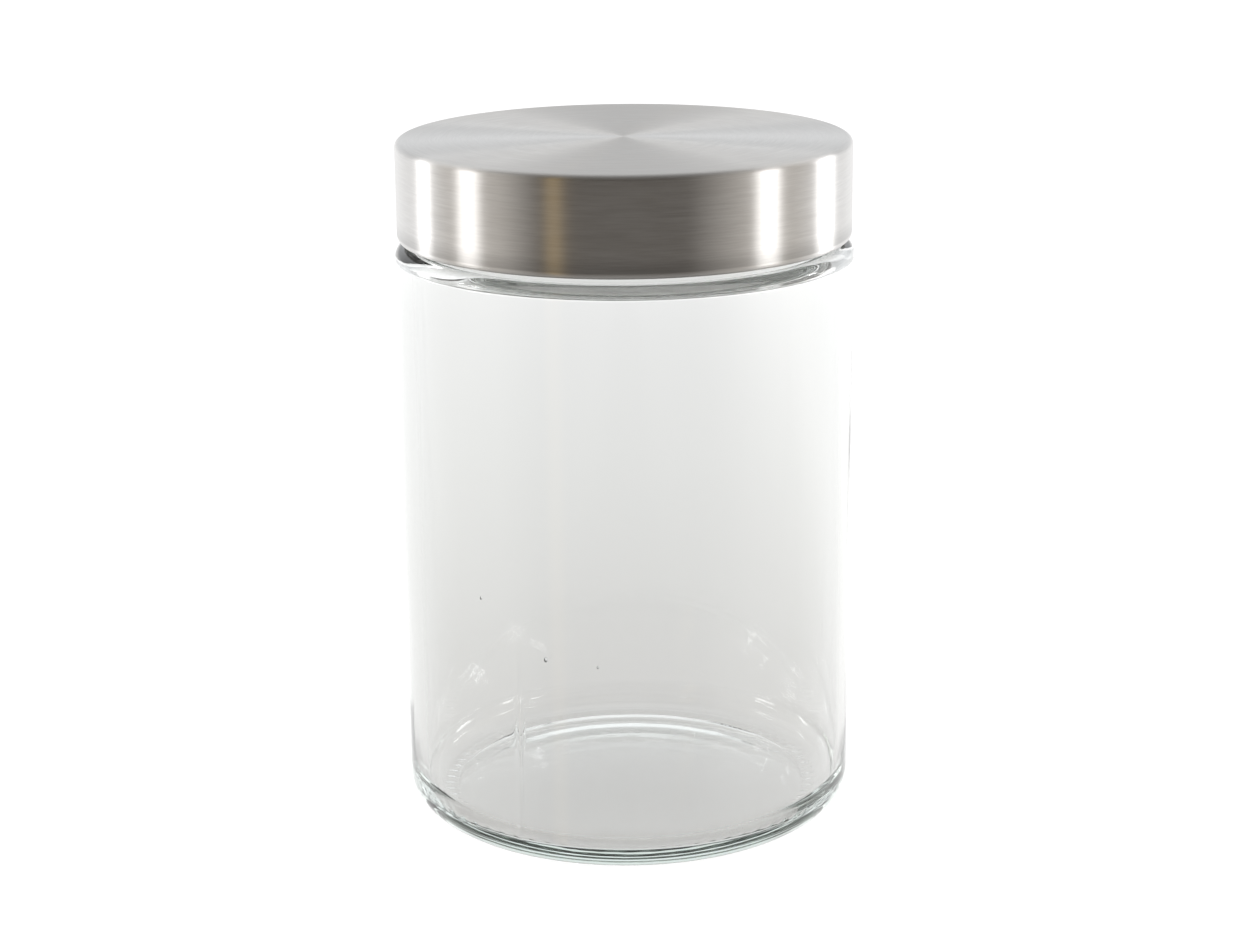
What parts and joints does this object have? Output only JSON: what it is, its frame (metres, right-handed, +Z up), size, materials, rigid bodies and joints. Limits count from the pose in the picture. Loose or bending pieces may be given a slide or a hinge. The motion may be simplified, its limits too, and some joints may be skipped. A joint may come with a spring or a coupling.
{
  "type": "storage jar",
  "caption": "Round clear glass jar, empty, with a flat steel screw lid over a moulded liner and a seal on the rim.",
  "frame": {"origin": "middle of the ring that the jar stands on, at the bottom centre of the whole", "axes": "+Z up along the jar's axis, through the base, the mouth and the lid; the jar is round, so X and Y are alike"},
  "size_m": [0.1112, 0.1112, 0.1682],
  "materials": {
    "clear_glass": "clear polished soda-lime glass with a faint green cast",
    "brushed_steel": "brushed round the skirt and in circles on the top",
    "liner_plastic": "moulded, satin, off-white",
    "seal_rubber": "soft pale seal, matt"
  },
  "bodies": {
    "root": {"glass_jar": "clear_glass", "lid_shell": "brushed_steel", "lid_liner": "liner_plastic", "lid_seal": "seal_rubber"}
  },
  "joints": []
}
